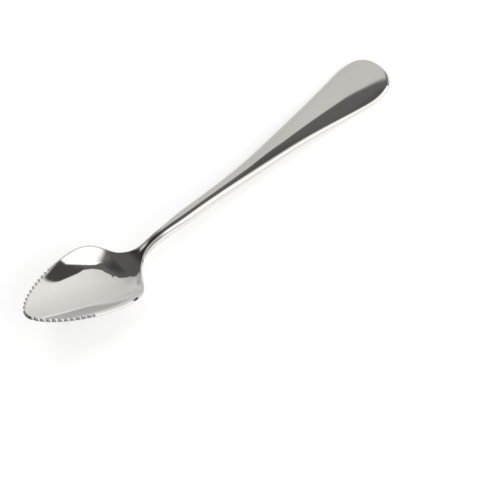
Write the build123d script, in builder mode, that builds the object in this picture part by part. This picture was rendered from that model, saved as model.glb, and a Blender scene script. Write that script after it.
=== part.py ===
from build123d import *
import os

# A grapefruit spoon, lying on a table as it rests by itself. Millimetres, +Z up.
# The bowl points to -X and the handle to +X, and the spoon is even about Y = 0.
# The origin is on the table, under the middle of the spoon's length.
# Every "from_tip" is a distance along X from the bowl's tip, every "from_end" from the handle's end.
# A "fullness", "roundness" or "run" is how far a curve keeps its first direction before it turns.

overall_length = 165.0

# Outline of the bowl, seen from above
bowl_width = 30.3
widest_from_tip = 30.6
tip_roundness = 6.8
flank_fullness = 11.6
shoulder_fullness = 12.3
heel_fullness = 11.9

# Outline of the neck, stem and handle, seen from above
neck_from_tip = 50.6
neck_width = 3.8
neck_fullness = 8.7
swell_fullness = 5.5
stem_from_tip = 68.5
stem_width = 5.5
stem_fullness = 47.6
grip_fullness = 8.6
grip_width = 20.2
grip_from_end = 11.3
end_fullness = 8.6
end_roundness = 5.6

# Side view: the height of the upper face along the middle
tip_height = 21.5
tip_run = 8.4
tip_fall = 5.7
low_from_tip = 37.5
low_run = 10.7
rise_run = 3.0
crest_run = 10.4
crest_from_tip = 55.5
crest_height = 8.3
sag_from_tip = 96.0
sag_height = 5.1
flare_from_end = 46.9
flare_height = 4.4

# Sections across the spoon
tip_hollow_radius = 8.1
bowl_hollow_radius = 13.0
section_fullness = 0.58
bowl_wall = 1.2
stem_thickness = 3.5
end_thickness = 2.1
crown = 0.55
end_crown = 0.13
crown_fade_from_end = 20.0
crown_fade = 17.5
heel_from_tip = 42.0
heel_blend = 11.0
edge_radius = 0.7
rest_flat_depth = 0.1

# Serrated edges
notch_count = 11
tooth_pitch = 1.9
first_notch_along_edge = 3.1
notch_width = 1.0
notch_depth = 1.0
edge_strip_width = 1.6

# Where the pieces meet
neck_start_from_tip = 46.0
stem_start_from_tip = 62.0
handle_start_from_end = 53.0

# How the sheet is lofted, how far it and the cutters overrun what they cut, and how its slope is measured
sheet_overrun = 1.5
slope_step = 0.1
bowl_stations = 17
handle_stations = 15
strip_stations = 7
bisections = 40

half_length = overall_length / 2
tip_x = -half_length
end_x = half_length
widest_x = tip_x + widest_from_tip
neck_x = tip_x + neck_from_tip
stem_x = tip_x + stem_from_tip
grip_x = end_x - grip_from_end
low_x = tip_x + low_from_tip
crest_x = tip_x + crest_from_tip
neck_start_x = tip_x + neck_start_from_tip
stem_start_x = tip_x + stem_start_from_tip
handle_start_x = end_x - handle_start_from_end
cutter_height = tip_height + bowl_width
half_bowl = bowl_width / 2
half_neck = neck_width / 2
half_stem = stem_width / 2
half_grip = grip_width / 2

os.makedirs("parts", exist_ok=True)

# Half of the outline, seen from above, from the tip round to the handle's end
with BuildLine() as plan_edge:
    flank = Bezier(
        (tip_x, 0),
        (tip_x, tip_roundness),
        (widest_x - flank_fullness, half_bowl),
        (widest_x, half_bowl),
    )
    shoulder = Bezier(
        (widest_x, half_bowl),
        (widest_x + shoulder_fullness, half_bowl),
        (neck_x - heel_fullness, half_neck),
        (neck_x, half_neck),
    )
    swell = Bezier(
        (neck_x, half_neck),
        (neck_x + neck_fullness, half_neck),
        (stem_x - swell_fullness, half_stem),
        (stem_x, half_stem),
    )
    flare = Bezier(
        (stem_x, half_stem),
        (stem_x + stem_fullness, half_stem),
        (grip_x - grip_fullness, half_grip),
        (grip_x, half_grip),
    )
    rounded_end = Bezier(
        (grip_x, half_grip),
        (grip_x + end_fullness, half_grip),
        (end_x, end_roundness),
        (end_x, 0),
    )
    mirror(about=Plane.XZ)
plan_spans = [flank, shoulder, swell, flare, rounded_end]

# The upper face along the middle, in side view: down into the bowl, up the heel, along the handle
with BuildLine(Plane.XZ) as side_line:
    bowl_dip = Bezier(
        (tip_x, tip_height),
        (tip_x + tip_run, tip_height - tip_fall),
        (low_x - low_run, bowl_wall),
        (low_x, bowl_wall),
    )
    heel_rise = Bezier(
        (low_x, bowl_wall),
        (low_x + rise_run, bowl_wall),
        (crest_x - crest_run, crest_height),
        (crest_x, crest_height),
    )
    handle_fall = Spline(
        (crest_x, crest_height),
        (tip_x + sag_from_tip, sag_height),
        (end_x - flare_from_end, flare_height),
        (grip_x, end_thickness),
        tangents=((1, 0), (1, 0)),
    )
    handle_level = Line((grip_x, end_thickness), (end_x, end_thickness))
side_spans = [bowl_dip, heel_rise, handle_fall, handle_level]


def point_over(spans, x):
    """The point of a chain of curves at x, or on the tangent of its start where x lies before it."""
    first = spans[0]
    if x < (first @ 0).X:
        return first @ 0 + (first % 0) * ((x - (first @ 0).X) / (first % 0).X)
    span = next((span for span in spans if x <= (span @ 1).X), spans[-1])
    low, high = 0.0, 1.0
    for _ in range(bisections):
        middle = (low + high) / 2
        if span.position_at(middle, PositionMode.PARAMETER).X < x:
            low = middle
        else:
            high = middle
    return span.position_at(low, PositionMode.PARAMETER)


def half_width(x):
    """Half the outline's width at x, and nothing past its ends."""
    if tip_x < x < end_x:
        return point_over(plan_spans, x).Y
    return 0.0


def crest_at(x):
    """Height of the upper face's middle line."""
    return point_over(side_spans, min(x, end_x)).Z


def steepness_at(x):
    """How much longer the upper face's middle line is than its length along X."""
    rise = crest_at(x + slope_step) - crest_at(x - slope_step)
    return Vector(2 * slope_step, rise).length / (2 * slope_step)


def smooth_step(x, start, length):
    """0 before start, 1 after its length, and a smooth rise between."""
    share = min(max((x - start) / length, 0.0), 1.0)
    return share * share * (3 - 2 * share)


def handle_share(x):
    """0 in the bowl, 1 on the handle, blended over the heel."""
    return smooth_step(x, tip_x + heel_from_tip, heel_blend)


def hollow_at(x, depth):
    """Rise of the bowl's section for each square millimetre, on the face at a depth under the upper one."""
    share = min(max((x - tip_x) / widest_from_tip, 0.0), 1.0)
    radius = bowl_hollow_radius + (tip_hollow_radius - bowl_hollow_radius) * (1 - share) ** 2
    return (1 - handle_share(x)) / (2 * (radius + depth))


def thickness_at(x):
    """Upright thickness along the middle: an even wall in the bowl, and a handle that thins to its end."""
    taper_start = tip_x + heel_from_tip + heel_blend
    taper = min(max((x - taper_start) / (grip_x - taper_start), 0.0), 1.0)
    handle = stem_thickness + (end_thickness + rest_flat_depth - stem_thickness) * taper
    bowl_share = 1 - handle_share(x)
    return bowl_wall * steepness_at(x) * bowl_share + handle * handle_share(x)


def crown_reach(x):
    """Half the width that the crown falls over: the outline's, and the grip's all the way round the end."""
    if x > grip_x:
        return half_grip
    return max(half_width(x), half_neck)


def crown_at(x):
    """How far the upper face falls to the outline: less towards the handle's end."""
    share = min(max((x - end_x + crown_fade_from_end) / crown_fade, 0.0), 1.0)
    return crown + (end_crown - crown) * share


def section_at(x):
    """Half the sheet's width at x, and the heights of its two faces in the middle and at the sides."""
    reach = crown_reach(x) + sheet_overrun
    upper_middle = crest_at(x)
    lower_middle = upper_middle - thickness_at(x)
    fall = handle_share(x) * crown_at(x) / crown_reach(x) ** 2
    upper_side = upper_middle + (hollow_at(x, 0) - fall) * reach**2
    lower_side = lower_middle + hollow_at(x, bowl_wall) * reach**2
    return reach, upper_middle, upper_side, lower_middle, lower_side


def side_pull(x):
    """Share of the half width where a section's inner control points stand: a third, and more in the bowl."""
    return 1 / 3 + (section_fullness - 1 / 3) * (1 - handle_share(x))


def evenly(start, stop, count):
    """Even steps from start to stop, both included."""
    return [start + (stop - start) * step / (count - 1) for step in range(count)]


# The formed sheet, wider and longer than the spoon, before it is cut to its outline
with BuildPart() as sheet:
    bowl_places = evenly(tip_x - sheet_overrun, crest_x, bowl_stations)
    handle_places = evenly(crest_x, end_x + sheet_overrun, handle_stations)
    for place in bowl_places + handle_places[1:]:
        reach, upper_middle, upper_side, lower_middle, lower_side = section_at(place)
        pull = reach * side_pull(place)
        upper_pull = upper_middle - (upper_side - upper_middle) / 3
        lower_pull = lower_middle - (lower_side - lower_middle) / 3
        with BuildSketch(Plane.YZ.offset(place)):
            with BuildLine():
                Bezier((-reach, upper_side), (-pull, upper_pull), (pull, upper_pull), (reach, upper_side))
                Line((reach, upper_side), (reach, lower_side))
                Bezier((reach, lower_side), (pull, lower_pull), (-pull, lower_pull), (-reach, lower_side))
                Line((-reach, lower_side), (-reach, upper_side))
            make_face()
    loft()

with BuildSketch() as plan:
    add(plan_edge.line)
    make_face()


def beside_flank(share, distance):
    """A point at a distance outside the bowl's flank, or inside it where the distance is negative."""
    outward = (flank % share).rotate(Axis.Z, 90)
    return flank @ share + outward * distance


# Shares of the flank's length at the notches, and where the toothed strip starts and ends
notch_shares = [(first_notch_along_edge + tooth_pitch * step) / flank.length for step in range(notch_count)]
half_pitch_share = tooth_pitch / 2 / flank.length
strip_start = notch_shares[0] - half_pitch_share
strip_end = notch_shares[-1] + half_pitch_share

# Seen from above: the band along the flank that holds the teeth, overrunning the outline
with BuildSketch() as strip_band:
    with BuildLine():
        strip_shares = evenly(strip_start, strip_end, strip_stations)
        inner = Spline([beside_flank(share, -edge_strip_width) for share in strip_shares])
        outer = Spline([beside_flank(share, sheet_overrun) for share in strip_shares])
        Line(inner @ 0, outer @ 0)
        Line(inner @ 1, outer @ 1)
    make_face()

# The notches of one side, as slots that straddle the outline
with BuildSketch() as notches:
    for share in notch_shares:
        across = (flank % share).rotate(Axis.Z, 90)
        with Locations(Location(flank @ share, (0, 0, Vector(1, 0).get_signed_angle(across)))):
            SlotOverall(2 * notch_depth, notch_width)

# The bowl, cut to its outline without the toothed strips, and level with the table
with BuildPart() as bowl:
    add(sheet.part)
    with BuildSketch():
        add(plan.sketch)
        add(strip_band.sketch, mode=Mode.SUBTRACT)
        add(strip_band.sketch.mirror(Plane.XZ), mode=Mode.SUBTRACT)
    extrude(amount=cutter_height, mode=Mode.INTERSECT)
    split(bisect_by=Plane.YZ.offset(neck_start_x), keep=Keep.BOTTOM)

# The toothed strips: one is cut, the other is its mirror image
with BuildPart() as right_serrated_edge:
    add(sheet.part)
    with BuildSketch():
        add(plan.sketch)
        add(strip_band.sketch, mode=Mode.INTERSECT)
        add(notches.sketch, mode=Mode.SUBTRACT)
    extrude(amount=cutter_height, mode=Mode.INTERSECT)

with BuildPart() as left_serrated_edge:
    add(right_serrated_edge.part)
    mirror(about=Plane.XZ, mode=Mode.REPLACE)

# The whole handle, cut to its outline, with its long edges rounded and its end levelled to rest flat
with BuildPart() as handle:
    add(sheet.part)
    with BuildSketch(Plane.XY.offset(-sheet_overrun)):
        add(plan.sketch)
    extrude(amount=cutter_height, mode=Mode.INTERSECT)
    split(bisect_by=Plane.YZ.offset(neck_start_x), keep=Keep.TOP)
    long_edges = handle.edges().filter_by(lambda edge: edge.bounding_box().size.X > edge_radius)
    fillet(long_edges, edge_radius)
    split(bisect_by=Plane.XY, keep=Keep.TOP)

# The handle's three stretches
with BuildPart() as neck:
    add(handle.part)
    split(bisect_by=Plane.YZ.offset(stem_start_x), keep=Keep.BOTTOM)

with BuildPart() as stem:
    add(handle.part)
    split(bisect_by=Plane.YZ.offset(stem_start_x), keep=Keep.TOP)
    split(bisect_by=Plane.YZ.offset(handle_start_x), keep=Keep.BOTTOM)

with BuildPart() as handle_end:
    add(handle.part)
    split(bisect_by=Plane.YZ.offset(handle_start_x), keep=Keep.TOP)

pieces = {
    "bowl": bowl,
    "left_serrated_edge": left_serrated_edge,
    "right_serrated_edge": right_serrated_edge,
    "neck": neck,
    "stem": stem,
    "handle_end": handle_end,
}
for name, piece in pieces.items():
    piece.part.label = name
    export_step(piece.part, f"parts/{name}.step")
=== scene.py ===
"""Looks of a polished grapefruit spoon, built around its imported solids.

The bowl lies towards -X and the handle towards +X. The classes of the spoon's form and
pieces hold millimetres, and every mesh and material is in metres.
"""

import logging
import math
from collections.abc import Callable
from dataclasses import dataclass
from enum import Enum

import bpy
import numpy as np
from mathutils import Matrix, Vector


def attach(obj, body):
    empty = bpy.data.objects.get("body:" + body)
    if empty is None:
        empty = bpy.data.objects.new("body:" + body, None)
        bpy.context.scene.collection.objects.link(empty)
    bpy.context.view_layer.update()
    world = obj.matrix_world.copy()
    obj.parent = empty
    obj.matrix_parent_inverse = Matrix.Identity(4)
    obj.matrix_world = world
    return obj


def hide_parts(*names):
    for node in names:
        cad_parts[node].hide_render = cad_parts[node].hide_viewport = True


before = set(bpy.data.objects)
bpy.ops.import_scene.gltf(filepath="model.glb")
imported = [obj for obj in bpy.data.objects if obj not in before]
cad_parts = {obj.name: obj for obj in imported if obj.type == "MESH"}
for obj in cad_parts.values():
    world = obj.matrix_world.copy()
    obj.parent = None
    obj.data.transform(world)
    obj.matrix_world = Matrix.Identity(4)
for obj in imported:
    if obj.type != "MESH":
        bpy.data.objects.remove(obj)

logging.basicConfig(level=logging.INFO, format="%(name)s: %(message)s")
log = logging.getLogger("grapefruit_spoon")

Array = np.ndarray
Pair = tuple[Array, Array]
Face = Callable[[Array], Pair]
Point = tuple[float, float]
Range = tuple[float, float]
Triple = tuple[float, float, float]
Material, Node, Piece = bpy.types.Material, bpy.types.Node, bpy.types.Object
Socket, Tree = bpy.types.NodeSocket, bpy.types.NodeTree

MM = 0.001
WELD = 1e-6
TINY = 1e-12
BODY = "root"
SKIN_NORMAL = "skin_normal"
# Vertex masks of painted light: shade on the rougher edges of the bowl and teeth, a highlight on
# the handle's sides and glint, and shade over the neck.
ROUGHNESS_AND_PAINTED_LIGHT = "roughness_and_painted_light"
PAINTED_NECK_SHADE = "painted_neck_shade"
MIRROR = np.array([1.0, -1.0, 1.0])
LEVEL = np.array([1.0, 0.0, 1.0])
SCRATCH_SHARPNESS = 160.0
SCRATCHED_ABOVE = 0.56


class Side(Enum):
    """A side of the spoon as its holder sees it: the left lies towards -Y."""

    LEFT = "left"
    RIGHT = "right"


class Slot(Enum):
    """The record's material slots."""

    POLISHED = "polished_steel"
    GROUND = "ground_edge"


def s_curve(start: Point, lead: float, trail: float, end: Point) -> list[Point]:
    """Control points of a curve that runs level out of its start and into its end."""
    return [start, (start[0] + lead, start[1]), (end[0] - trail, end[1]), end]


def bezier(points: list[Point], count: int) -> Pair:
    """Samples a cubic Bezier curve.

    Args:
        points: The curve's four control points.
        count: How many samples are taken, both ends included.

    Returns:
        The samples and the unit tangents there, each as count x 2.
    """
    t = np.linspace(0.0, 1.0, count)[:, None]
    p0, p1, p2, p3 = (np.array(point, float) for point in points)
    u = 1.0 - t
    samples = u**3 * p0 + 3 * u**2 * t * p1 + 3 * u * t**2 * p2 + t**3 * p3
    slopes = u**2 * (p1 - p0) + 2 * u * t * (p2 - p1) + t**2 * (p3 - p2)
    return samples, slopes / np.linalg.norm(slopes, axis=1, keepdims=True)


def smooth_step(share: Array) -> Array:
    """0 below 0, 1 above 1, and a smooth rise between."""
    share = np.clip(share, 0.0, 1.0)
    return share * share * (3.0 - 2.0 * share)


def fade(values: Array, ends: Range) -> Array:
    """0 before the first of two values, 1 past the second, and a smooth rise between."""
    return smooth_step((values - ends[0]) / (ends[1] - ends[0]))


def unit(vectors: Array) -> Array:
    """The vectors of the last axis, each of length 1."""
    return vectors / np.maximum(np.linalg.norm(vectors, axis=-1, keepdims=True), TINY)


@dataclass
class SpoonForm:
    """The faces and the outline of the whole spoon, in millimetres from the bowl's tip."""

    overall_length: float = 165.0
    bowl_width: float = 30.3
    widest_from_tip: float = 30.6
    tip_roundness: float = 6.8
    flank_fullness: float = 11.6
    shoulder_fullness: float = 12.3
    heel_fullness: float = 11.9
    neck_from_tip: float = 50.6
    neck_width: float = 3.8
    neck_fullness: float = 8.7
    swell_fullness: float = 5.5
    stem_from_tip: float = 68.5
    stem_width: float = 5.5
    stem_fullness: float = 47.6
    grip_fullness: float = 8.6
    grip_width: float = 20.2
    grip_from_end: float = 11.3
    end_fullness: float = 8.6
    end_roundness: float = 5.6
    tip_height: float = 21.5
    tip_run: float = 8.4
    tip_fall: float = 5.7
    low_from_tip: float = 37.5
    low_run: float = 10.7
    rise_run: float = 3.0
    crest_run: float = 10.4
    crest_from_tip: float = 55.5
    crest_height: float = 8.3
    sag_from_tip: float = 96.0
    sag_height: float = 5.1
    flare_from_end: float = 46.9
    flare_height: float = 4.4
    tip_hollow_radius: float = 8.1
    bowl_hollow_radius: float = 13.0
    bowl_wall: float = 1.2
    tip_wall: float = 1.1
    tip_wall_reach: float = 15.0
    under_hollow: float = 0.8
    stem_thickness: float = 3.5
    end_thickness: float = 2.1
    crown: float = 0.55
    end_crown: float = 0.13
    crown_fade_from_end: float = 20.0
    crown_fade: float = 17.5
    heel_from_tip: float = 42.0
    heel_blend: float = 11.0
    rest_flat_depth: float = 0.1
    section_fullness: float = 0.58
    sheet_overrun: float = 1.5
    softness: float = 1.6
    softness_reach: int = 4
    table_step: float = 0.05
    table_margin: float = 8.0
    curve_samples: int = 4001
    solve_steps: int = 5

    def __post_init__(self) -> None:
        """Works out the outline, and tables of the heights along the spoon."""
        self._trace_outline()
        margin = self.table_margin
        s = self.places = np.arange(-margin, self.overall_length + margin, self.table_step)
        handle = smooth_step((s - self.heel_from_tip) / self.heel_blend)
        share = np.clip(s / self.widest_from_tip, 0.0, 1.0)
        spread = (self.tip_hollow_radius - self.bowl_hollow_radius) * (1.0 - share) ** 2
        radius = self.bowl_hollow_radius + spread
        crest = self._crest(s)
        steepness = np.hypot(1.0, np.gradient(crest, self.table_step))
        taper_start = self.heel_from_tip + self.heel_blend
        taper = np.clip((s - taper_start) / (self.grip_from_tip - taper_start), 0.0, 1.0)
        thin = self.end_thickness + self.rest_flat_depth
        thickness = self.stem_thickness + (thin - self.stem_thickness) * taper
        thicker = (self.bowl_wall - self.tip_wall) * smooth_step(s / self.tip_wall_reach)
        wall = self.tip_wall + thicker
        thickness = wall * steepness * (1.0 - handle) + thickness * handle
        reach = np.maximum(self.half_width(s), self.neck_width / 2)
        reach = np.where(s > self.grip_from_tip, self.grip_width / 2, reach)
        fade = (s - self.overall_length + self.crown_fade_from_end) / self.crown_fade
        crown = self.crown + (self.end_crown - self.crown) * np.clip(fade, 0.0, 1.0)
        hollow = (1.0 - handle) / (2.0 * radius)
        under = (1.0 - handle) / (2.0 * (radius + self.under_hollow))
        span = reach + self.sheet_overrun
        full = 1.0 / 3.0 + (self.section_fullness - 1.0 / 3.0) * (1.0 - handle)
        self._upper = self._table(crest, (hollow - handle * crown / reach**2) * span**2, span, full)
        self._lower = self._table(crest - thickness, under * span**2, span, full)

    @property
    def grip_from_tip(self) -> float:
        """Place of the handle's widest section."""
        return self.overall_length - self.grip_from_end

    def _trace_outline(self) -> None:
        """Samples half of the plan outline, from the tip round to the handle's end."""
        bowl, neck = self.bowl_width / 2, self.neck_width / 2
        stem, grip = self.stem_width / 2, self.grip_width / 2
        widest, neck_s, stem_s = self.widest_from_tip, self.neck_from_tip, self.stem_from_tip
        grip_s, end = self.grip_from_tip, self.overall_length
        round_end = (end, self.end_roundness)
        spans = (
            [(0, 0), (0, self.tip_roundness), (widest - self.flank_fullness, bowl), (widest, bowl)],
            s_curve((widest, bowl), self.shoulder_fullness, self.heel_fullness, (neck_s, neck)),
            s_curve((neck_s, neck), self.neck_fullness, self.swell_fullness, (stem_s, stem)),
            s_curve((stem_s, stem), self.stem_fullness, self.grip_fullness, (grip_s, grip)),
            [(grip_s, grip), (grip_s + self.end_fullness, grip), round_end, (end, 0)],
        )
        parts = [bezier(span, self.curve_samples) for span in spans]
        self.edge = np.vstack([parts[0][0]] + [samples[1:] for samples, _ in parts[1:]])
        self.edge_tangent = np.vstack([parts[0][1]] + [tangents[1:] for _, tangents in parts[1:]])
        steps = np.linalg.norm(np.diff(self.edge, axis=0), axis=1)
        self.edge_length = np.concatenate([[0.0], np.cumsum(steps)])

    def _crest(self, s: Array) -> Array:
        """Height of the upper face along the middle, before it is softened."""
        low = (self.low_from_tip, self.bowl_wall)
        crest = (self.crest_from_tip, self.crest_height)
        tip = [(0, self.tip_height), (self.tip_run, self.tip_height - self.tip_fall)]
        dip, _ = bezier(tip + [(low[0] - self.low_run, low[1]), low], self.curve_samples)
        rise, _ = bezier(s_curve(low, self.rise_run, self.crest_run, crest), self.curve_samples)
        front = np.vstack([dip, rise[1:]])
        knots = np.array(
            [
                crest,
                (self.sag_from_tip, self.sag_height),
                (self.overall_length - self.flare_from_end, self.flare_height),
                (self.grip_from_tip, self.end_thickness),
            ]
        )
        height = np.where(s < self.crest_from_tip, np.interp(s, *front.T), level_spline(knots, s))
        before = self.tip_height - s * self.tip_fall / self.tip_run
        return np.where(s < 0.0, before, height)

    def _table(self, *rows: Array) -> tuple[Array, ...]:
        """Softens a face's middle height, rise, span and fullness, and adds their slopes."""
        reach = int(self.softness_reach * self.softness / self.table_step)
        offsets = np.arange(-reach, reach + 1) * self.table_step
        kernel = np.exp(-0.5 * (offsets / self.softness) ** 2)
        kernel /= kernel.sum()
        soft = []
        for row in rows:
            ramp = np.arange(1, reach + 1)
            head = row[0] - (row[1] - row[0]) * ramp[::-1]
            tail = row[-1] + (row[-1] - row[-2]) * ramp
            soft.append(np.convolve(np.concatenate([head, row, tail]), kernel, mode="valid"))
        return (*soft, *(np.gradient(row, self.table_step) for row in soft))

    def _face(self, table: tuple[Array, ...], plan: Array) -> Pair:
        """Heights of a face and its slopes along both axes, at plan points.

        A section is a Bezier curve with four control points. Its height is middle + rise * u**2
        where its place across is span * u * (a + b * u**2), and u runs from -1 to 1.
        """
        s, y = plan[..., 0], plan[..., 1]
        read = [np.interp(s, self.places, row) for row in table]
        middle, rise, span, full, middle_slope, rise_slope, span_slope, full_slope = read
        a, b = 0.75 * (1.0 + full), 0.25 - 0.75 * full
        across = y / span
        u = across / a
        for _ in range(self.solve_steps):
            u = u - (u * (a + b * u**2) - across) / (a + 3.0 * b * u**2)
        spread = a + 3.0 * b * u**2
        drift = across * span_slope / span + 0.75 * full_slope * u * (1.0 - u**2)
        along = middle_slope + rise_slope * u**2 - 2.0 * rise * u * drift / spread
        slopes = np.stack([along, 2.0 * rise * u / (span * spread)], axis=-1)
        return middle + rise * u**2, slopes

    def upper(self, plan: Array) -> Pair:
        """The upper face's heights and slopes at plan points."""
        return self._face(self._upper, plan)

    def lower(self, plan: Array) -> Pair:
        """The lower face's heights and slopes at plan points, never under the table."""
        height, slopes = self._face(self._lower, plan)
        under = height < 0.0
        return np.where(under, 0.0, height), np.where(under[..., None], 0.0, slopes)

    def half_width(self, s: Array) -> Array:
        """Half the outline's width at places along the spoon."""
        return np.interp(s, *self.edge.T, left=0.0, right=0.0)

    def along_edge(self, s: float) -> float:
        """Length along the edge from the tip to a place along the spoon."""
        return float(np.interp(s, self.edge[:, 0], self.edge_length))

    def edge_at(self, along: Array) -> Pair:
        """Points of the edge at lengths along it, and the outward directions there."""
        points, tangent = (
            np.stack([np.interp(along, self.edge_length, c) for c in curve.T], axis=-1)
            for curve in (self.edge, self.edge_tangent)
        )
        tangent = unit(tangent)
        return points, np.stack([-tangent[:, 1], tangent[:, 0]], axis=-1)


def level_spline(knots: Array, s: Array) -> Array:
    """A cubic spline that is level at both ends and stays level past them.

    Args:
        knots: Four points in order.
        s: Places at which it is read.

    Returns:
        The heights there.
    """
    x, z = knots.T
    h = np.diff(x)
    rise = np.diff(z) / h**2
    matrix = [[2 / h[0] + 2 / h[1], 1 / h[1]], [1 / h[1], 2 / h[1] + 2 / h[2]]]
    slopes = np.zeros_like(x)
    slopes[1:3] = np.linalg.solve(matrix, [3 * (rise[0] + rise[1]), 3 * (rise[1] + rise[2])])
    s = np.clip(s, x[0], x[-1])
    i = np.clip(np.searchsorted(x, s) - 1, 0, 2)
    t = (s - x[i]) / h[i]
    near = (1 + 2 * t) * (1 - t) ** 2 * z[i] + t * (1 - t) ** 2 * h[i] * slopes[i]
    far = t**2 * (3 - 2 * t) * z[i + 1] + t**2 * (t - 1) * h[i] * slopes[i + 1]
    return near + far


@dataclass
class RimSection:
    """How the section across the spoon is divided, and how its rim is rounded."""

    form: SpoonForm
    band: float = 1.6
    handle_band: float = 3.4
    band_fade: Range = (40.0, 46.0)
    slim_share: float = 0.8
    bowl_rounding: float = 0.2
    handle_rounding: float = 0.5
    rounding_share: float = 0.28
    handle_roll: float = 2.8
    end_roll: float = 0.9
    end_roll_fade: Range = (154.0, 162.0)
    roll_share: float = 0.85
    least_room: float = 0.05
    handle_drop: float = 1.9
    drop_share: float = 0.66
    tip_fan: float = 3.0
    tip_fan_reach: float = 20.0
    end_fan: float = 8.0
    end_fan_reach: float = 30.0
    square_start: Range = (38.0, 44.0)
    square_stop: Range = (138.0, 150.0)
    row_bow: float = 0.5
    # Where the painted shade over the neck starts and stops.
    neck_shade_start: Range = (43.0, 45.5)
    neck_shade_stop: Range = (54.0, 59.0)
    middle_steps: int = 36
    band_steps: int = 5
    corner_steps: int = 7
    face_steps: int = 3

    def stations(self, along: Array) -> tuple[Array, Array, Array, Array]:
        """Where each row across the spoon starts, heads and ends, seen from above.

        Args:
            along: Lengths along the edge.

        Returns:
            Points of the edge, inward directions, ends on the middle line, and band depths.
        """
        form = self.form
        edge, outward = form.edge_at(along)
        s = edge[:, 0]
        square = fade(s, self.square_start) * (1.0 - fade(s, self.square_stop))
        across = np.array([0.0, -1.0])
        inward = unit(-outward * (1.0 - square)[:, None] + across * square[:, None])
        from_end = form.overall_length - s
        tip_fan = np.clip(1.0 - s / self.tip_fan_reach, 0.0, 1.0) ** 3
        end_fan = np.clip(1.0 - from_end / self.end_fan_reach, 0.0, 1.0) ** 3
        centre_s = s + self.tip_fan * tip_fan - self.end_fan * end_fan
        centre = np.stack([centre_s, np.zeros_like(s)], axis=-1)
        slim = np.minimum(self.handle_band, self.slim_share * form.half_width(s))
        depth = self.band + (slim - self.band) * fade(s, self.band_fade)
        return edge, inward, centre, np.where(s < self.square_stop[0], depth, self.handle_band)

    def rounding(self, s: Array, on_handle: float) -> Array:
        """Reach of the rim's rounded corners, from the bowl's to the given one on the handle."""
        share = smooth_step((s - self.form.heel_from_tip) / self.form.heel_blend)
        return self.bowl_rounding + (on_handle - self.bowl_rounding) * share

    def rim(self, along: Array, notch_upper: Array, notch_lower: Array) -> Pair:
        """The rim's section from the upper band round to the lower band.

        Args:
            along: Lengths along the edge.
            notch_upper: How far the upper edge is cut back at each of them.
            notch_lower: How far the lower edge is cut back.

        Returns:
            Points as rows x columns x 3, and 1 where a column is on the rim itself.
        """
        form = self.form
        edge, inward, _, depth = self.stations(along)
        s = edge[:, 0]

        def on_face(face: Face, distance: Array) -> Pair:
            """Heights of a face at distances from the edge, and its slopes towards the edge."""
            height, slopes = face(edge + inward * distance[:, None])
            return height, -(slopes * inward).sum(axis=1)

        def on_band(face: Face, distance: Array) -> Array:
            """Points of the section at distances from the edge."""
            return np.stack([distance, on_face(face, distance)[0]], axis=-1)

        low_height, low_slope = on_face(form.lower, notch_lower)
        top_height, _ = on_face(form.upper, notch_lower)
        lean = np.maximum(low_slope, 0.0)
        set_back = (top_height - low_height) * lean / (1.0 + lean**2)
        top_edge = set_back + notch_upper
        top_height, top_slope = on_face(form.upper, top_edge)
        corner_top = np.stack([top_edge, top_height], axis=-1)
        corner_low = np.stack([notch_lower, low_height], axis=-1)
        face_length = np.linalg.norm(corner_low - corner_top, axis=1)
        room = self.roll_share * np.maximum(depth - top_edge, self.least_room)
        most = np.minimum(self.rounding_share * face_length, room)
        radius = np.minimum(self.rounding(s, self.handle_rounding), most)
        at_end = fade(s, self.end_roll_fade)
        roll = self.rounding(s, self.handle_roll) * (1.0 - at_end) + self.end_roll * at_end
        roll = np.minimum(roll, room)
        drop = np.minimum(self.rounding(s, self.handle_drop), self.drop_share * face_length)
        top_start = top_edge + roll / np.hypot(1.0, top_slope)
        low_end = notch_lower + radius / np.hypot(1.0, low_slope)
        face_way = (corner_low - corner_top) / face_length[:, None]
        e_top = corner_top + face_way * drop[:, None]
        e_low = corner_low - face_way * radius[:, None]
        columns = []
        for step in range(self.band_steps):
            distance = depth + (top_start - depth) * step / self.band_steps
            columns.append(on_band(form.upper, distance))
        a_top = on_band(form.upper, top_start)
        columns += rounded_corner(a_top, corner_top, e_top, self.corner_steps)
        for step in range(1, self.face_steps):
            columns.append(e_top + (e_low - e_top) * step / self.face_steps)
        a_low = on_band(form.lower, low_end)
        columns += rounded_corner(e_low, corner_low, a_low, self.corner_steps)
        for step in range(1, self.band_steps + 1):
            distance = low_end + (depth - low_end) * step / self.band_steps
            columns.append(on_band(form.lower, distance))
        section = np.stack(columns, axis=1)
        plan = edge[:, None, :] + inward[:, None, :] * section[..., :1]
        return np.concatenate([plan, section[..., 1:]], axis=-1), self.rim_mask()

    def rim_mask(self) -> Array:
        """1 for the columns of the rim's section that lie on its rounded face."""
        rounded = 2 * (self.corner_steps + 1) + self.face_steps - 1
        band = np.zeros(self.band_steps)
        return np.concatenate([band, np.ones(rounded), band])

    def painted_neck_shade(self, s: Array) -> Array:
        """Painted shade over the neck and the bowl's end beside it, 1 there and fading out on both
        sides.
        """
        return fade(s, self.neck_shade_start) * fade(s, self.neck_shade_stop[::-1])

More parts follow.
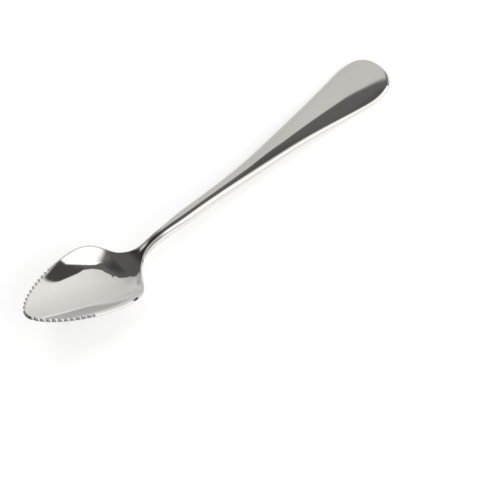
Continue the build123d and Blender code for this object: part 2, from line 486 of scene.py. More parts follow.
    def half_ring(self, along: Array, recess: Array) -> tuple[Array, Array, Array]:
        """Half a section, from the upper face's middle round the rim to the lower face's middle.

        Args:
            along: Lengths along the edge, one for each row.
            recess: True for the rows whose rim belongs to a serrated edge.

        Returns:
            Points and outward normals as rows x columns x 3, and the rim's mask by column.
        """
        form = self.form
        edge, inward, centre, depth = self.stations(along)
        none = np.zeros_like(along)
        rim, mask = self.rim(along, none, none)
        seam = edge + inward * depth[:, None]
        wall = np.linspace(0.0, 1.0, rim.shape[1])[None, :, None]
        recessed = rim[:, :1] + (rim[:, -1:] - rim[:, :1]) * wall
        rim = np.where(recess[:, None, None], recessed, rim)
        reach = self.row_bow * np.linalg.norm(seam - centre, axis=1)[:, None]
        bow = seam + inward * reach
        f = np.linspace(0.0, 1.0, self.middle_steps + 1)[:-1][None, :, None]
        ends = (1 - f) ** 2 * centre[:, None] + f**2 * seam[:, None]
        plan = ends + 2 * f * (1 - f) * bow[:, None]
        top = np.concatenate([plan, form.upper(plan)[0][..., None]], axis=-1)
        low = np.concatenate([plan, form.lower(plan)[0][..., None]], axis=-1)[:, ::-1]
        points = np.concatenate([top, rim, low], axis=1)
        middle = np.zeros(self.middle_steps)
        mask = np.concatenate([middle, mask, middle])
        return points, self.normals(points, mask), mask

    def normals(self, points: Array, mask: Array) -> Array:
        """Outward normals of a half section's points, exact on the two faces."""
        normals = unit(np.cross(np.gradient(points, axis=0), np.gradient(points, axis=1)))
        plan = points[..., :2]
        first, last = np.flatnonzero(mask)[[0, -1]]
        for columns, face, sign in (
            (slice(0, first), self.form.upper, 1.0),
            (slice(last + 1, None), self.form.lower, -1.0),
        ):
            slopes = face(plan[:, columns])[1]
            flat = np.concatenate([-slopes, np.ones_like(slopes[..., :1])], axis=-1)
            normals[:, columns] = unit(flat) * sign
        return normals


def rounded_corner(start: Array, corner: Array, end: Array, steps: int) -> list[Array]:
    """Columns along arcs that round a corner.

    Args:
        start: Where each arc starts.
        corner: The corner that it rounds.
        end: Where it ends.
        steps: How many steps it is divided into.

    Returns:
        The columns in order, both ends included.
    """
    opening = (unit(start - corner) * unit(end - corner)).sum(axis=1)
    weight = np.sqrt(np.clip((1.0 - opening) / 2.0, 0.0, 1.0))[:, None]
    columns = []
    for t in np.linspace(0.0, 1.0, steps + 1):
        pull = 2.0 * weight * t * (1.0 - t)
        total = (1.0 - t) ** 2 + pull + t**2
        columns.append(((1.0 - t) ** 2 * start + pull * corner + t**2 * end) / total)
    return columns


def full_ring(half: Array) -> Array:
    """A closed section from half of it: the left half, with vectors mirrored, then the right."""
    left = half * MIRROR if half.ndim == 3 else half
    return np.concatenate([left, half[:, -2::-1]], axis=1)


def spot(points: Array, normals: Array, centre: Point, size: Point) -> Array:
    """A soft spot on the upper face, 1 at its centre in plan and fading over its size."""
    offset = (points[..., :2] - np.array(centre)) / np.array(size)
    return np.exp(-0.5 * (offset**2).sum(axis=-1)) * (normals[..., 2] > 0.0)


def in_place(form: SpoonForm, points: Array) -> Array:
    """Points in millimetres from the tip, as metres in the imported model's frame."""
    return (points - np.array([form.overall_length / 2, 0.0, 0.0])) * MM


def edit_mesh(*steps: Callable[[], object]) -> None:
    """Runs steps of mesh editing on the active piece, each with the whole mesh selected."""
    bpy.ops.object.mode_set(mode="EDIT")
    for step in steps:
        bpy.ops.mesh.select_all(action="SELECT")
        step()
    bpy.ops.object.mode_set(mode="OBJECT")


def pressed_piece(name: str, points: Array, normals: Array, **masks: Array) -> Piece:
    """Presses a flat grid onto a form and closes it.

    Args:
        name: The piece's name.
        points: Where the grid's vertices go, as rows x columns x 3.
        normals: The finished surface's normals there.
        masks: Values from 0 to 1 at the vertices, by the name of the attribute that holds them.

    Returns:
        The new piece, closed, with its open ends filled.
    """
    rows, columns = points.shape[:2]
    bpy.ops.object.select_all(action="DESELECT")
    bpy.ops.mesh.primitive_grid_add(x_subdivisions=columns - 1, y_subdivisions=rows - 1, size=1.0)
    piece = bpy.context.object
    mesh = piece.data
    piece.name = mesh.name = name
    mesh.vertices.foreach_set("co", points.astype(np.float32).ravel())
    skin = mesh.attributes.new(SKIN_NORMAL, "FLOAT_VECTOR", "POINT")
    skin.data.foreach_set("vector", normals.astype(np.float32).ravel())
    for label, values in masks.items():
        attribute = mesh.attributes.new(label, "FLOAT", "POINT")
        attribute.data.foreach_set("value", values.astype(np.float32).ravel())
    mesh.update()
    edit_mesh(
        lambda: bpy.ops.mesh.remove_doubles(threshold=WELD),
        lambda: bpy.ops.mesh.dissolve_degenerate(threshold=WELD),
        lambda: bpy.ops.mesh.fill_holes(sides=0),
        lambda: bpy.ops.mesh.normals_make_consistent(inside=False),
    )
    while mesh.uv_layers:
        mesh.uv_layers.remove(mesh.uv_layers[0])
    bpy.ops.object.shade_smooth()
    return piece


def skin_normals(mesh: bpy.types.Mesh) -> Array:
    """The normals that a mesh's vertices are to show."""
    values = np.empty(len(mesh.vertices) * 3, np.float32)
    mesh.attributes[SKIN_NORMAL].data.foreach_get("vector", values)
    return values.reshape(-1, 3)


def keep_skin_normals(piece: Piece, inner_wall: float = 0.5) -> None:
    """Gives a piece the form's own normals, so that no line shows where two pieces meet.

    Args:
        piece: The piece.
        inner_wall: How far a face may lean off those normals, as a cosine, before it keeps its own.
    """
    mesh = piece.data
    mesh.update()
    corner_vertex = np.empty(len(mesh.loops), np.int32)
    mesh.loops.foreach_get("vertex_index", corner_vertex)
    corners = skin_normals(mesh)[corner_vertex]
    facing = np.empty(len(mesh.polygons) * 3, np.float32)
    mesh.polygons.foreach_get("normal", facing)
    sides = np.empty(len(mesh.polygons), np.int32)
    mesh.polygons.foreach_get("loop_total", sides)
    facing = np.repeat(facing.reshape(-1, 3), sides, axis=0)
    inside = (corners * facing).sum(axis=1) < inner_wall
    corners[inside] = facing[inside]
    mesh.attributes.remove(mesh.attributes[SKIN_NORMAL])
    mesh.normals_split_custom_set(unit(corners).tolist())


def dress_piece(piece: Piece, node: str, steel: Material) -> None:
    """Finishes a piece, puts it in its node's place on the spoon, and reports it.

    Args:
        piece: The piece.
        node: The node that it stands for.
        steel: Its finish.
    """
    keep_skin_normals(piece)
    piece.data.materials.clear()
    piece.data.materials.append(steel)
    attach(piece, BODY)
    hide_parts(node)
    log.info("%s: %d faces", piece.name, len(piece.data.polygons))


@dataclass
class SerratedEdge:
    """The toothed strip along one flank of the bowl."""

    rim: RimSection
    notch_count: int = 11
    tooth_pitch: float = 1.9
    first_notch: float = 3.1
    notch_half_width: float = 0.64
    notch_depth_upper: float = 0.42
    notch_depth_lower: float = 0.3
    tooth_rounding: float = 0.07
    rounding_steps: int = 8
    land_reach: float = 0.92
    land_softness: float = 0.12
    row_step: float = 0.045
    wall_steps: int = 4

    @property
    def start(self) -> float:
        """Length along the edge at which the strip starts."""
        return self.first_notch - self.tooth_pitch / 2

    @property
    def stop(self) -> float:
        """Length along the edge at which the strip stops."""
        return self.start + self.tooth_pitch * self.notch_count

    def notch_share(self, along: Array) -> Array:
        """How far the edge is cut back, from 0 on a tooth to 1 in a gullet."""
        fine_step = self.tooth_rounding / self.rounding_steps
        fine = np.arange(self.start - 1.0, self.stop + 1.0, fine_step)
        step = np.round((fine - self.first_notch) / self.tooth_pitch)
        step = np.clip(step, 0, self.notch_count - 1)
        offset = (fine - self.first_notch - step * self.tooth_pitch) / self.notch_half_width
        share = np.sqrt(np.clip(1.0 - offset**2, 0.0, 1.0))
        reach = 3 * self.rounding_steps
        kernel = np.exp(-0.5 * (np.arange(-reach, reach + 1) / self.rounding_steps) ** 2)
        return np.interp(along, fine, np.convolve(share, kernel / kernel.sum(), mode="same"))

    def land(self, along: Array, points: Array) -> Array:
        """How much of the cut edge is left between the gullets; it gets painted shade and a rougher
        finish.

        Args:
            along: Lengths along the edge.
            points: The rim's section at each of them.

        Returns:
            1 on the edge that is left, 0 where grinding has cut it, as rows x columns.
        """
        step = (along - self.first_notch) / self.tooth_pitch
        cut = 1.0 - 2.0 * np.abs(step - np.round(step))
        steps = np.linalg.norm(np.diff(points, axis=1, prepend=points[:, :1]), axis=2)
        way = np.cumsum(steps, axis=1)
        on_rim = np.flatnonzero(self.rim.rim_mask())
        first, last = way[:, on_rim[:1]], way[:, on_rim[-1:]]
        down = (way - first) / (last - first)
        past = down - self.land_reach * cut[:, None]
        return smooth_step(past / (2.0 * self.land_softness) + 0.5)

    def build(self) -> dict[Side, Piece]:
        """Models the left strip and copies it to the right.

        Returns:
            The two strips by side.
        """
        rows = int(round((self.stop - self.start) / self.row_step)) + 1
        along = np.linspace(self.start, self.stop, rows)
        share = self.notch_share(along)
        upper, lower = share * self.notch_depth_upper, share * self.notch_depth_lower
        points, mask = self.rim.rim(along, upper, lower)
        normals = self.rim.normals(points, mask)
        back = np.linspace(1.0, 0.0, self.wall_steps + 1)[1:][None, :, None]
        wall = points[:, :1] + (points[:, -1:] - points[:, :1]) * back
        unpainted_wall = np.zeros((rows, self.wall_steps))
        # The lands between the gullets get painted shade in the edge colour, and a rougher finish.
        roughness_and_light = np.concatenate([self.land(along, points) * mask, unpainted_wall], axis=1)
        points = np.concatenate([points, wall], axis=1)
        inner = np.repeat(normals[:, -1:], self.wall_steps, axis=1)
        normals = np.concatenate([normals, inner], axis=1)
        placed = in_place(self.rim.form, points * MIRROR)
        left = pressed_piece("left_serrated_edge", placed, normals * MIRROR, **{ROUGHNESS_AND_PAINTED_LIGHT: roughness_and_light})
        bpy.ops.object.select_all(action="DESELECT")
        left.select_set(True)
        bpy.context.view_layer.objects.active = left
        bpy.ops.object.duplicate()
        right = bpy.context.object
        right.name = right.data.name = "right_serrated_edge"
        edit_mesh(
            lambda: bpy.ops.transform.resize(value=tuple(MIRROR), center_override=(0.0, 0.0, 0.0)),
            bpy.ops.mesh.flip_normals,
        )
        mirrored = skin_normals(right.data) * MIRROR.astype(np.float32)
        right.data.attributes[SKIN_NORMAL].data.foreach_set("vector", mirrored.ravel())
        return {Side.LEFT: left, Side.RIGHT: right}

    def dress(self, pieces: dict[Side, Piece], steel: Material) -> None:
        """Finishes both strips and puts them on the spoon."""
        for side, piece in pieces.items():
            dress_piece(piece, f"{side.value}_serrated_edge", steel)


@dataclass
class Bowl:
    """The bowl, with a recess along each flank for its serrated edge."""

    rim: RimSection
    teeth: SerratedEdge
    tip_edge_shade: float = 1.0
    shoulder_edge_shade: float = 0.25
    press_mark: Point = (34.9, 2.2)
    press_mark_size: Point = (1.45, 1.45)
    press_mark_tilt: Triple = (0.056, 0.031, 0.0)
    neck_start: float = 46.0
    row_step: float = 0.3

    def rows(self) -> Pair:
        """Lengths along the edge of the bowl's rows, and which of them are recessed."""
        stops = (0.0, self.teeth.start, self.teeth.stop, self.rim.form.along_edge(self.neck_start))
        lengths, recessed = [], []
        for begin, end, inside in zip(stops, stops[1:], (False, True, False)):
            count = int(round((end - begin) / self.row_step)) + 1
            lengths.append(np.linspace(begin, end, count))
            recessed.append(np.full(count, inside))
        return np.concatenate(lengths), np.concatenate(recessed)

    def build(self) -> Piece:
        """Models the bowl as one closed shell."""
        along, recess = self.rows()
        points, normals, mask = self.rim.half_ring(along, recess)
        normals[0] = unit(normals[0] * LEVEL)
        mark = spot(points, normals, self.press_mark, self.press_mark_size)
        normals = unit(normals + mark[..., None] * np.array(self.press_mark_tilt))
        # Painted shade on the rim's edge, full round the tip and light at the shoulders, with a
        # rougher edge; none where the serrated strips sit.
        rim_shade = np.where(recess, 0.0, self.shoulder_edge_shade)
        rim_shade = np.where(along < self.teeth.start, self.tip_edge_shade, rim_shade)
        ring = full_ring(points)
        # The bowl's end next to the neck starts the painted shade over the neck.
        masks = {
            ROUGHNESS_AND_PAINTED_LIGHT: full_ring(rim_shade[:, None] * mask[None, :]),
            PAINTED_NECK_SHADE: self.rim.painted_neck_shade(ring[..., 0]),
        }
        return pressed_piece("bowl", in_place(self.rim.form, ring), full_ring(normals), **masks)

    def dress(self, piece: Piece, steel: Material) -> None:
        """Finishes the bowl and puts it on the spoon."""
        dress_piece(piece, "bowl", steel)


@dataclass
class Handle:
    """The neck, the stem and the flared end, cut from one bar."""

    rim: RimSection
    neck_start: float = 46.0
    stem_start: float = 62.0
    end_start: float = 112.0
    # The handle's rounded sides get a painted highlight from the neck on; the glint is a painted
    # highlight on the neck, with tilted normals.
    highlight_start: Range = (46.5, 54.5)
    highlight_top: Range = (0.62, 0.42)
    highlight_under: Range = (-0.1, 0.05)
    shade_side: Range = (0.3, 0.5)
    glint: Point = (48.6, 0.1)
    glint_size: Point = (1.5, 0.36)
    glint_tilt: Triple = (0.0, 0.32, 0.0)
    row_step: float = 0.5

    def masks(self, s: Array, upright: Array, glint: Array) -> dict[str, Array]:
        """Painted highlight and painted shade on the handle's skin.

        Args:
            s: Places along the spoon.
            upright: How upright the skin's normals are, from 1 on top to -1 underneath.
            glint: The glint's mask.

        Returns:
            Values from 0 to 1 by the name of their attribute.
        """
        # Painted highlight on the rounded sides, then painted shade over the neck's top, kept off
        # the glint and the steep sides.
        rim = fade(upright, self.highlight_top) * fade(upright, self.highlight_under)
        edge_highlight = rim * fade(s, self.highlight_start)
        shade = self.rim.painted_neck_shade(s) * (1.0 - glint) * fade(upright, self.shade_side)
        # The glint's painted highlight joins the sides' painted highlight in one mask.
        return {ROUGHNESS_AND_PAINTED_LIGHT: np.maximum(edge_highlight, glint), PAINTED_NECK_SHADE: shade}

    def build(self) -> dict[str, Piece]:
        """Models the three stretches, each as one closed solid.

        Returns:
            The pieces by the name of their node.
        """
        form = self.rim.form
        cuts = [form.along_edge(s) for s in (self.neck_start, self.stem_start, self.end_start)]
        cuts.append(float(form.edge_length[-1]))
        counts = [int(round((b - a) / self.row_step)) for a, b in zip(cuts, cuts[1:])]
        spans = zip(cuts, cuts[1:], counts)
        rows = [np.linspace(a, b, n, endpoint=False) for a, b, n in spans]
        along = np.concatenate(rows + [[cuts[-1]]])
        points, normals, _ = self.rim.half_ring(along, np.zeros(len(along), bool))
        normals[-1] = unit(normals[-1] * LEVEL)
        ring, facing = full_ring(points), full_ring(normals)
        # The glint is a painted highlight: it tilts the normals and lightens the colour.
        glint = spot(ring, facing, self.glint, self.glint_size)
        masks = self.masks(ring[..., 0], facing[..., 2], glint)
        facing = unit(facing + glint[..., None] * np.array(self.glint_tilt))
        placed = in_place(form, ring)
        pieces, first = {}, 0
        for name, count in zip(("neck", "stem", "handle_end"), counts):
            part = slice(first, first + count + 1)
            cut = {label: values[part] for label, values in masks.items()}
            pieces[name] = pressed_piece(name, placed[part], facing[part], **cut)
            first += count
        return pieces

    def dress(self, pieces: dict[str, Piece], steel: Material) -> None:
        """Finishes the three stretches and puts them on the spoon."""
        for name, piece in pieces.items():
            dress_piece(piece, name, steel)


def feed(tree: Tree, target: Socket, value: object) -> None:
    """Links a socket to an input, or else sets the input's value."""
    if isinstance(value, Socket):
        tree.links.new(value, target)
    else:
        target.default_value = value


def add_node(tree: Tree, kind: str, **settings: object) -> Node:
    """Adds a node to a tree.

    Args:
        tree: The node tree.
        kind: The node's type, without the start that all types share.
        settings: Properties of the node, and then what feeds its inputs by their names in capitals.

    Returns:
        The new node.
    """
    node = tree.nodes.new(f"ShaderNode{kind}")
    for key, value in settings.items():
        if key.isupper():
            feed(tree, node.inputs[key.replace("_", " ").title()], value)
        else:
            setattr(node, key, value)
    return node


def math_node(tree: Tree, operation: str, *values: object) -> Socket:
    """Adds a Math node whose inputs are sockets or numbers, and returns its output."""
    node = add_node(tree, "Math", operation=operation)
    for target, value in zip(node.inputs, values):
        feed(tree, target, value)
    return node.outputs[0]


def dot_node(tree: Tree, vector: Socket, weights: Triple) -> Socket:
    """Adds a dot product with fixed weights, and returns its output."""
    node = add_node(tree, "VectorMath", operation="DOT_PRODUCT", VECTOR=vector)
    node.inputs[1].default_value = weights
    return node.outputs["Value"]


def ramp_node(tree: Tree, value: Socket, ends: Range, kind: str = "SMOOTHSTEP") -> Socket:
    """Adds a ramp from 0 to 1 between two values, and returns its output."""
    inputs = {"VALUE": value, "FROM_MIN": ends[0], "FROM_MAX": ends[1]}
    return add_node(tree, "MapRange", interpolation_type=kind, **inputs).outputs[0]


def mix_node(tree: Tree, factor: Socket, a: object, b: object, blend: str = "MIX") -> Socket:
    """Adds a mix of two colours or colour sockets.

    Args:
        tree: The node tree.
        factor: How much of the second colour there is.
        a: The first colour.
        b: The second colour.
        blend: How they are blended.

    Returns:
        The mixed colour.
    """
    node = add_node(tree, "Mix", data_type="RGBA", blend_type=blend, FACTOR=factor)
    for label, colour in (("A", a), ("B", b)):
        feed(tree, node.inputs[label], colour if isinstance(colour, Socket) else (*colour, 1.0))
    return node.outputs["Result"]


def new_group(
    name: str, inputs: dict[str, object], outputs: list[str]
) -> tuple[Tree, bpy.types.NodeOutputs, bpy.types.NodeInputs]:
    """Starts a shader node group with named sockets.

    Args:
        name: The group's name.
        inputs: Default values by input name, each a number or a vector.
        outputs: Names of the outputs, all of them values.

    Returns:
        The group, the sockets of its inputs, and those that feed its outputs.
    """
    group = bpy.data.node_groups.new(name, "ShaderNodeTree")
    for label, value in inputs.items():
        kind = "Float" if isinstance(value, float) else "Vector"
        socket = group.interface.new_socket(label, in_out="INPUT", socket_type=f"NodeSocket{kind}")
        socket.default_value = value
    for label in outputs:
        group.interface.new_socket(label, in_out="OUTPUT", socket_type="NodeSocketFloat")
    start, end = group.nodes.new("NodeGroupInput"), group.nodes.new("NodeGroupOutput")
    return group, start.outputs, end.inputs


def polish_lines_group() -> Tree:
    """Fine lines that polishing leaves along the steel."""
    defaults = {"Vector": (0.0, 0.0, 0.0), "Along": 60.0, "Across": 6000.0}
    group, given, result = new_group("polish_lines", defaults, ["Lines"])
    along, across = given["Along"], given["Across"]
    scale = add_node(group, "CombineXYZ", X=along, Y=across, Z=across)
    stretch = add_node(group, "VectorMath", operation="MULTIPLY", VECTOR=given["Vector"])
    feed(group, stretch.inputs[1], scale.outputs[0])
    place = stretch.outputs[0]
    noise = add_node(group, "TexNoise", VECTOR=place, SCALE=1.0, DETAIL=3.0, ROUGHNESS=0.6)
    feed(group, result["Lines"], noise.outputs[0])
    return group


def handling_group() -> Tree:
    """Soft smudges and a few hair scratches from use."""
    defaults = {"Vector": (0.0, 0.0, 0.0), "Smudge Scale": 90.0, "Scratch Scale": 220.0}
    group, given, result = new_group("handling_marks", defaults, ["Smudge", "Scratch"])
    place = given["Vector"]
    smudge_scale, scratch_scale = given["Smudge Scale"], given["Scratch Scale"]
    soft = {"VECTOR": place, "SCALE": smudge_scale, "DETAIL": 4.0, "ROUGHNESS": 0.55}
    thread = {"VECTOR": place, "SCALE": scratch_scale, "DETAIL": 0.0, "DISTORTION": 0.6}
    smudge, scratch = (add_node(group, "TexNoise", **kind).outputs[0] for kind in (soft, thread))
    ridge = math_node(group, "ABSOLUTE", math_node(group, "SUBTRACT", scratch, 0.5))
    thin = math_node(group, "MULTIPLY_ADD", ridge, -SCRATCH_SHARPNESS, 1.0)
    thin = math_node(group, "MAXIMUM", thin, 0.0)
    sparse = math_node(group, "GREATER_THAN", smudge, SCRATCHED_ABOVE)
    feed(group, result["Smudge"], smudge)
    feed(group, result["Scratch"], math_node(group, "MULTIPLY", thin, sparse))
    return group


@dataclass(frozen=True)
class SteelFinish:
    """A steel finish: its colour, how even its polish is, painted light on its edge, and its own
    reflection.

    Where the steel mirrors itself, it shows a matte echo, a painted reflection, instead of a second
    reflection, paler towards the heel and towards -Y. Its edge colour is painted shade where it is
    dark and a painted highlight where it is pale, and the handle and the neck get painted shade.
    The ranges along X and Y are in metres.
    """

    name: str
    colour: Triple = (0.69, 0.682, 0.645)
    dull_colour: Triple = (0.65, 0.642, 0.605)
    # The edge colour is painted shade, dark, on the bowl's rim and the teeth; the handle's finish
    # makes it a pale painted highlight.
    painted_edge_colour: Triple = (0.27, 0.268, 0.262)
    echo_colour: Triple = (0.95, 0.955, 0.965)
    echo_shade: Triple = (0.55, 0.553, 0.563)
    echo_pale_heel: Range = (-0.0475, -0.0445)
    echo_pale_side: Range = (0.001, -0.006)
    # Painted shade: the handle is darker than the bowl, and the neck darker still.
    painted_handle_shade: float = 0.93
    handle_fade: Range = (-0.04, -0.02)
    painted_neck_shade: float = 0.42
    roughness: float = 0.02
    roughness_spread: float = 0.03
    edge_roughness: float = 0.2
    scratch_roughness: float = 0.08
    lines_along: float = 40.0
    lines_across: float = 5000.0
    line_height: float = 2e-7

    def material(self, lines: Tree, handling: Tree) -> Material:
        """Builds the finish.

        Args:
            lines: The group of polishing lines.
            handling: The group of marks from use.

        Returns:
            The material.
        """
        material = bpy.data.materials.new(self.name)
        material.use_nodes = True
        tree = material.node_tree
        shader = tree.nodes["Principled BSDF"].inputs
        place = add_node(tree, "TexCoord").outputs["Object"]
        x, y, _ = add_node(tree, "SeparateXYZ", VECTOR=place).outputs
        roughness_and_light = add_node(tree, "Attribute", attribute_name=ROUGHNESS_AND_PAINTED_LIGHT).outputs["Fac"]
        neck_shade = add_node(tree, "Attribute", attribute_name=PAINTED_NECK_SHADE).outputs["Fac"]
        echo = add_node(tree, "LightPath").outputs["Is Glossy Ray"]
        marks = add_node(tree, "Group", node_tree=handling, VECTOR=place).outputs
        spacing = {"ALONG": self.lines_along, "ACROSS": self.lines_across}
        polish = add_node(tree, "Group", node_tree=lines, VECTOR=place, **spacing)
        streaks = polish.outputs["Lines"]
        rough = self.roughness
        for value, weight in (
            (marks["Smudge"], self.roughness_spread),
            (streaks, self.roughness_spread),
            (roughness_and_light, self.edge_roughness),
            (echo, 1.0),
            (marks["Scratch"], self.scratch_roughness),
        ):
            rough = math_node(tree, "MULTIPLY_ADD", value, weight, rough)
        colour = mix_node(tree, marks["Smudge"], self.colour, self.dull_colour)
        on_handle = ramp_node(tree, x, self.handle_fade, "LINEAR")
        colour = mix_node(tree, on_handle, colour, (self.painted_handle_shade,) * 3, "MULTIPLY")
        # Painted light on the edges, then painted shade over the neck.
        colour = mix_node(tree, roughness_and_light, colour, self.painted_edge_colour)
        colour = mix_node(tree, neck_shade, colour, (self.painted_neck_shade,) * 3, "MULTIPLY")
        # The painted reflection is paler towards the heel and towards -Y.
        at_heel = ramp_node(tree, x, self.echo_pale_heel)
        pale = math_node(tree, "MAXIMUM", at_heel, ramp_node(tree, y, self.echo_pale_side))
        echoed = mix_node(tree, pale, self.echo_shade, self.echo_colour)
        groove = math_node(tree, "SUBTRACT", streaks, marks["Scratch"])
        bump = add_node(tree, "Bump", STRENGTH=1.0, DISTANCE=self.line_height, HEIGHT=groove)
        feed(tree, shader["Base Color"], mix_node(tree, echo, colour, echoed))
        feed(tree, shader["Metallic"], math_node(tree, "SUBTRACT", 1.0, echo))
        feed(tree, shader["Roughness"], rough)
        feed(tree, shader["Normal"], bump.outputs["Normal"])
        return material


POLISHED = SteelFinish("polished_stainless")
# The handle's finish: its pale edge colour is a painted highlight.
EDGE_HIGHLIGHTED = SteelFinish("stainless_edge_highlight", painted_edge_colour=(0.84, 0.83, 0.80), edge_roughness=0.0)
GROUND = SteelFinish(
    "ground_stainless",
    dull_colour=(0.63, 0.622, 0.588),
    roughness=0.04,
    roughness_spread=0.04,
    lines_along=900.0,
    lines_across=9000.0,
    line_height=4e-7,
)


@dataclass(frozen=True)
class Panel:
    """A flat-sided panel of the studio, as the spoon sees it.

    Its corners run anticlockwise, seen from above with +X to the right, in degrees off the
    zenith along X and Y.
    """

    corners: tuple[Point, ...]
    brightness: float
    softness: float = 1.0
    rounding: float = 0.0

    def mask(self, tree: Tree, place: Socket) -> Socket:
        """Adds the panel's mask.

        Args:
            tree: The world's nodes.
            place: Degrees off the zenith along X and Y, and 1.

        Returns:
            1 inside the panel, 0 outside, with its edge between.
        """
        inside = None
        for (x0, y0), (x1, y1) in zip(self.corners, self.corners[1:] + self.corners[:1]):
            length = math.hypot(x1 - x0, y1 - y0)
            across = ((y0 - y1) / length, (x1 - x0) / length)
            depth = dot_node(tree, place, (*across, -across[0] * x0 - across[1] * y0))
            if inside is None:
                inside = depth
            else:
                inside = math_node(tree, "SMOOTH_MIN", inside, depth, self.rounding)
        return ramp_node(tree, inside, (-self.softness, self.softness))


PANELS = {
    "sweep_glow": Panel(((62, -30), (105, -30), (105, 12), (62, 12)), 1.13, 30.0),
    "sweep_low": Panel(((-40, 62), (120, 62), (120, 150), (-40, 150)), 0.84, 18.0),
    "dark_side": Panel(((-36, -95), (-36, 50), (-48, 68), (-120, 80), (-120, -95)), 0.12, 10.0),
    "dark_front": Panel(((-120, -34), (-120, -130), (64, -130), (64, -34)), 0.12, 3.0),
    "boom": Panel(((30, -40), (66, -45), (66, -20), (54, -15.6), (37, -3), (30, 0)), 0.15, 1.5),
    "boom_root": Panel(((34, -18), (46, -16), (45.6, -11.6), (34, 1)), 0.15),
    "flag": Panel(
        ((54, -15.6), (54, -45), (64, -58), (67.7, -51.5), (73.2, -43), (77.4, -31.1))
        + ((76.7, -25), (75.8, -20), (73.6, -11.8), (70.6, -7.6), (66.6, -8.8), (60.7, -13.1)),
        0.078,
    ),
    "boom_fade": Panel(((30, -36), (59, -42), (59, -26), (54, -21), (37, -9), (30, -6)), 0.15, 5.0),
    "soft_box": Panel(
        ((-60, -30), (-60, -79), (57, -79), (66.5, -52.7), (64.1, -39.1), (59.3, -33.7))
        + ((53.4, -28.1), (46.2, -22.7), (39.2, -19.2)),
        1.6,
    ),
    "ceiling_fade": Panel(
        ((-75, 0), (-75, -53), (-42.4, -45.4), (-5, -36.7), (17, -31), (27, -25), (27, 0)),
        0.19,
        11.0,
    ),
    "ceiling": Panel(
        ((-75, -16), (28, -18), (39.2, -17.5), (38.4, -3.7), (37.3, 8), (36.6, 18))
        + ((36.2, 25.8), (-75, 3)),
        0.165,
        0.5,
    ),
    "ceiling_gusset": Panel(((20, 21), (26.2, 23.6), (22.7, 26.4)), 0.15, 0.5),
    "ceiling_slope": Panel(
        ((25.5, 18), (22.3, 28), (4.5, 35.8), (-75, 66), (-75, -5)), 0.13, 1.0, 1.0
    ),
    "ceiling_deep": Panel(((22, -12), (22, 8), (-5, 22), (-75, 45), (-75, -12)), 0.075, 12.0),
    "ceiling_back": Panel(((-32, -26), (-32, 36), (-75, 36), (-75, -26)), 0.13, 8.0),
    "heel_shade": Panel(((-22, 40), (-37, 68), (-60, 75), (-75, 40)), 0.12, 4.0),
}


@dataclass(frozen=True)
class Lamp:
    """A soft lamp that the steel doesn't mirror, its breadth in degrees as the spoon sees it."""

    name: str
    energy: float
    way: Triple
    breadth: float
    shadow: bool

    def hang(self) -> None:
        """Hangs the lamp."""
        light = bpy.data.lights.new(self.name, "SUN")
        light.energy, light.angle = self.energy, math.radians(self.breadth)
        light.use_shadow = self.shadow
        holder = bpy.data.objects.new(self.name, light)
        holder.rotation_euler = Vector(self.way).to_track_quat("-Z", "Y").to_euler()
        holder.visible_glossy = False
        bpy.context.scene.collection.objects.link(holder)


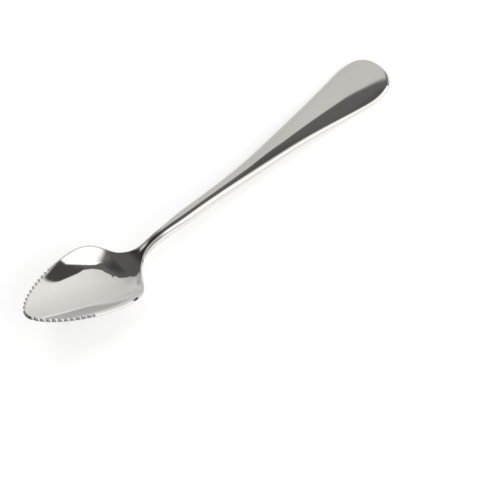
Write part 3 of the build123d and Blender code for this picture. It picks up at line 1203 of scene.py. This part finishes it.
@dataclass
class Studio:
    """A white sweep, a dark ceiling and camera side, one soft box, two lamps, and the camera.

    Its panels cover one another in their order. The floor's glow fades with the distance from
    the spoon where the steel mirrors it. The floor is in metres, the camera's place in
    millimetres.
    """

    lens: float = 100.0
    sensor: float = 36.0
    clip: Range = (0.01, 50.0)
    camera_place: Triple = (-158.095, -223.486, 411.219)
    azimuth: float = 37.201
    elevation: float = 58.58
    roll: float = -6.719
    floor_size: float = 8.0
    floor_gap: float = 0.0001
    floor_colour: Triple = (0.8, 0.8, 0.8)
    floor_lift: float = 0.3
    floor_lift_in_steel: float = 0.13
    floor_fade: Range = (0.095, 0.125)
    sweep: Triple = (0.0035, -0.0019, 0.774)
    backdrop: float = 1.0
    least_length: float = 1e-5
    fill: Lamp = Lamp("fill_lamp", 0.92, (0.0, 0.05, -1.0), 70.0, False)
    key: Lamp = Lamp("key_lamp", 0.32, (0.05, -0.3, -1.0), 30.0, True)

    def place_camera(self) -> None:
        """Looks at the spoon as the photograph does."""
        a, e, r = (math.radians(v) for v in (self.azimuth, self.elevation, self.roll))
        right = Vector((math.cos(a), -math.sin(a), 0.0))
        look = Vector((math.sin(a) * math.cos(e), math.cos(a) * math.cos(e), -math.sin(e)))
        up = right.cross(look)
        turned_right = right * math.cos(r) + up * math.sin(r)
        turned_up = up * math.cos(r) - right * math.sin(r)
        turn = Matrix((turned_right, turned_up, -look)).transposed()
        data = bpy.data.cameras.new("camera")
        data.lens, data.sensor_width = self.lens, self.sensor
        data.clip_start, data.clip_end = self.clip
        camera = bpy.data.objects.new("camera", data)
        camera.matrix_world = Matrix.Translation(Vector(self.camera_place) * MM) @ turn.to_4x4()
        bpy.context.scene.collection.objects.link(camera)
        bpy.context.scene.camera = camera

    def lay_floor(self) -> None:
        """Lays a white floor that keeps the spoon's shadow."""
        bpy.ops.object.select_all(action="DESELECT")
        bpy.ops.mesh.primitive_plane_add(size=self.floor_size, location=(0.0, 0.0, -self.floor_gap))
        floor = bpy.context.object
        floor.name = "floor"
        material = bpy.data.materials.new("floor_white")
        material.use_nodes = True
        tree = material.node_tree
        tree.nodes.clear()
        path = add_node(tree, "LightPath").outputs
        straight = math_node(tree, "MULTIPLY", path["Is Camera Ray"], self.floor_lift)
        place = add_node(tree, "TexCoord").outputs["Object"]
        away = add_node(tree, "VectorMath", operation="LENGTH", VECTOR=place).outputs["Value"]
        far = ramp_node(tree, away, self.floor_fade, "LINEAR")
        fall = self.floor_lift_in_steel - self.floor_lift
        lift = math_node(tree, "MULTIPLY_ADD", far, fall, self.floor_lift)
        mirrored = math_node(tree, "MAXIMUM", path["Is Glossy Ray"], path["Is Transmission Ray"])
        mirrored = math_node(tree, "MULTIPLY", mirrored, lift)
        strength = math_node(tree, "ADD", straight, mirrored)
        paint = add_node(tree, "BsdfDiffuse", COLOR=(*self.floor_colour, 1.0))
        glow = add_node(tree, "Emission", COLOR=(1.0, 1.0, 1.0, 1.0), STRENGTH=strength)
        both = add_node(tree, "AddShader")
        feed(tree, both.inputs[0], paint.outputs[0])
        feed(tree, both.inputs[1], glow.outputs[0])
        add_node(tree, "OutputMaterial", SURFACE=both.outputs[0])
        floor.data.materials.append(material)

    def light(self) -> None:
        """Lights the spoon from the sweep, the soft box and two soft lamps."""
        world = bpy.data.worlds.new("studio")
        bpy.context.scene.world = world
        world.use_nodes = True
        tree = world.node_tree
        tree.nodes.clear()
        way = add_node(tree, "TexCoord").outputs["Generated"]
        x, y, z = add_node(tree, "SeparateXYZ", VECTOR=way).outputs
        turn = math_node(tree, "MULTIPLY", math_node(tree, "ARCCOSINE", z), 180.0 / math.pi)
        squares = math_node(tree, "MULTIPLY_ADD", x, x, math_node(tree, "MULTIPLY", y, y))
        length = math_node(tree, "MAXIMUM", math_node(tree, "SQRT", squares), self.least_length)
        scale = math_node(tree, "DIVIDE", turn, length)
        east, north = (math_node(tree, "MULTIPLY", value, scale) for value in (x, y))
        place = add_node(tree, "CombineXYZ", X=east, Y=north, Z=1.0).outputs[0]
        level = dot_node(tree, place, self.sweep)
        for panel in PANELS.values():
            mask = panel.mask(tree, place)
            blend = add_node(tree, "Mix", FACTOR=mask, A=level, B=panel.brightness)
            level = blend.outputs["Result"]
        seen = add_node(tree, "LightPath").outputs["Is Camera Ray"]
        backdrop = add_node(tree, "Mix", FACTOR=seen, A=level, B=self.backdrop)
        strength = backdrop.outputs["Result"]
        background = add_node(tree, "Background", COLOR=(1.0, 1.0, 1.0, 1.0), STRENGTH=strength)
        add_node(tree, "OutputWorld", SURFACE=background.outputs[0])
        self.fill.hang()
        self.key.hang()

    def set_up(self) -> None:
        """Makes the whole studio."""
        self.place_camera()
        self.lay_floor()
        self.light()
        bpy.context.scene.view_settings.view_transform = "Standard"


def main() -> None:
    """Builds the spoon's pieces in order, dresses them and sets up the studio."""
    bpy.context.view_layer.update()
    bpy.ops.object.select_all(action="DESELECT")
    groups = (polish_lines_group(), handling_group())
    rim = RimSection(SpoonForm())
    teeth = SerratedEdge(rim)
    bowl = Bowl(rim, teeth)
    bowl.dress(bowl.build(), POLISHED.material(*groups))
    teeth.dress(teeth.build(), GROUND.material(*groups))
    handle = Handle(rim)
    handle.dress(handle.build(), EDGE_HIGHLIGHTED.material(*groups))
    Studio().set_up()


if __name__ == "__main__":
    main()
